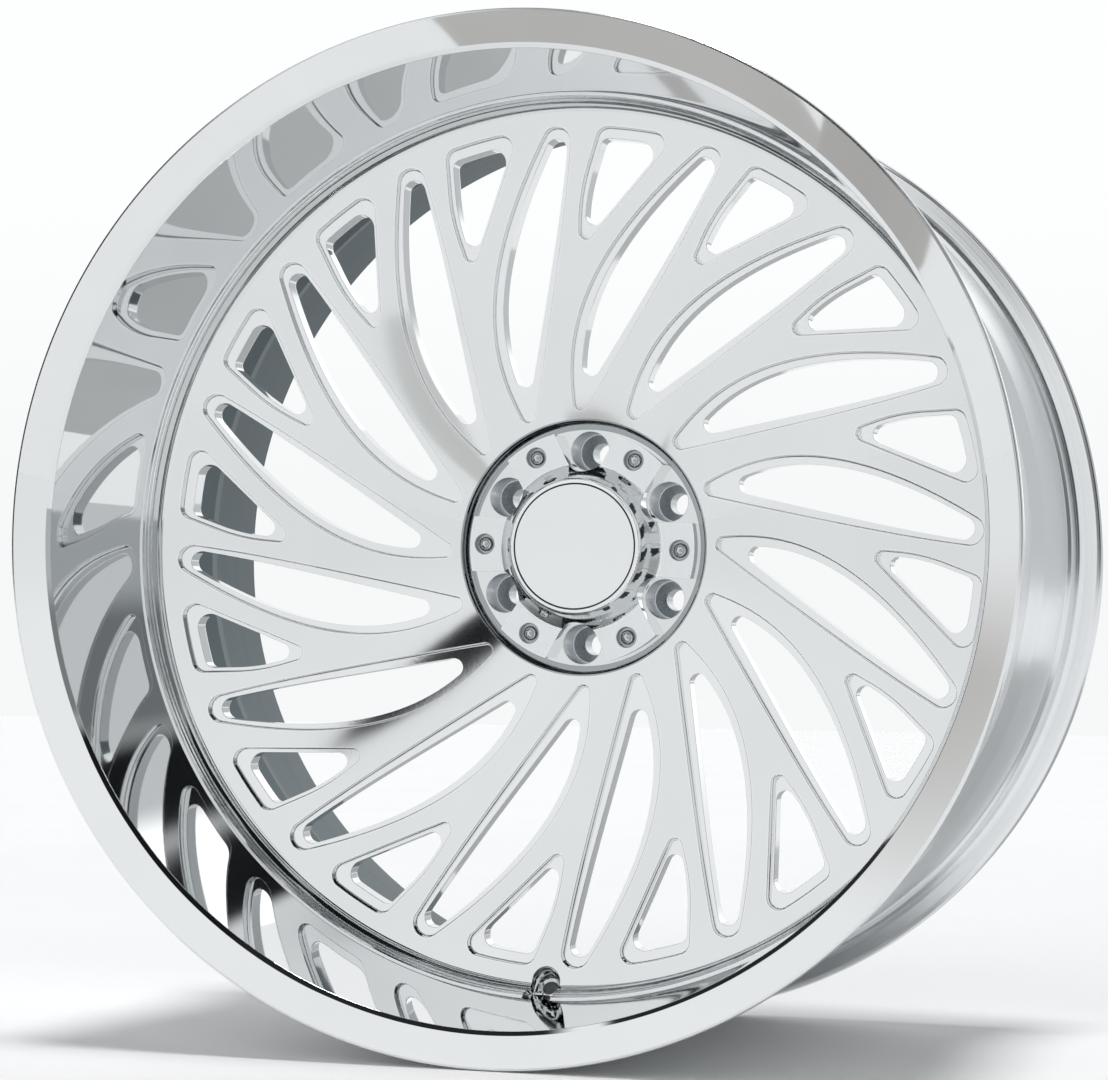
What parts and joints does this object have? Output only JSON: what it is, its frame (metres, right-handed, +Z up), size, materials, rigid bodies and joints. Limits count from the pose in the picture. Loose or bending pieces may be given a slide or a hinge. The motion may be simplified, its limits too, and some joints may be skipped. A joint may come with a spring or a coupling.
{
  "type": "forged truck wheel rim",
  "caption": "Deep-lip forged wheel rim with a concave face of swept windows, a bolted hub cap, lug sockets and a slanted valve hole.",
  "frame": {"origin": "on the wheel's axis, midway between the two tyre flanges", "axes": "the face looks along -Y, the axis of rotation is Y, +Z is up with one lug near the top and the valve at the bottom, +X is to the right seen from the front"},
  "size_m": [0.6998, 0.381, 0.6998],
  "materials": {
    "polished": "mirror polished",
    "turned": "fine turned, satin",
    "weld": "dressed weld, satin",
    "seal": "black, soft",
    "screw_steel": "stainless, bright"
  },
  "bodies": {
    "root": {"barrel": "turned", "centre_disc": "polished", "front_weld_bead": "weld", "rear_weld_bead": "weld", "cap_body": "polished", "cap_medallion": "polished", "cap_o_ring": "seal", "cap_screw_1": "screw_steel", "cap_screw_2": "screw_steel", "cap_screw_3": "screw_steel", "cap_screw_4": "screw_steel", "cap_screw_5": "screw_steel", "cap_screw_6": "screw_steel"}
  },
  "joints": []
}
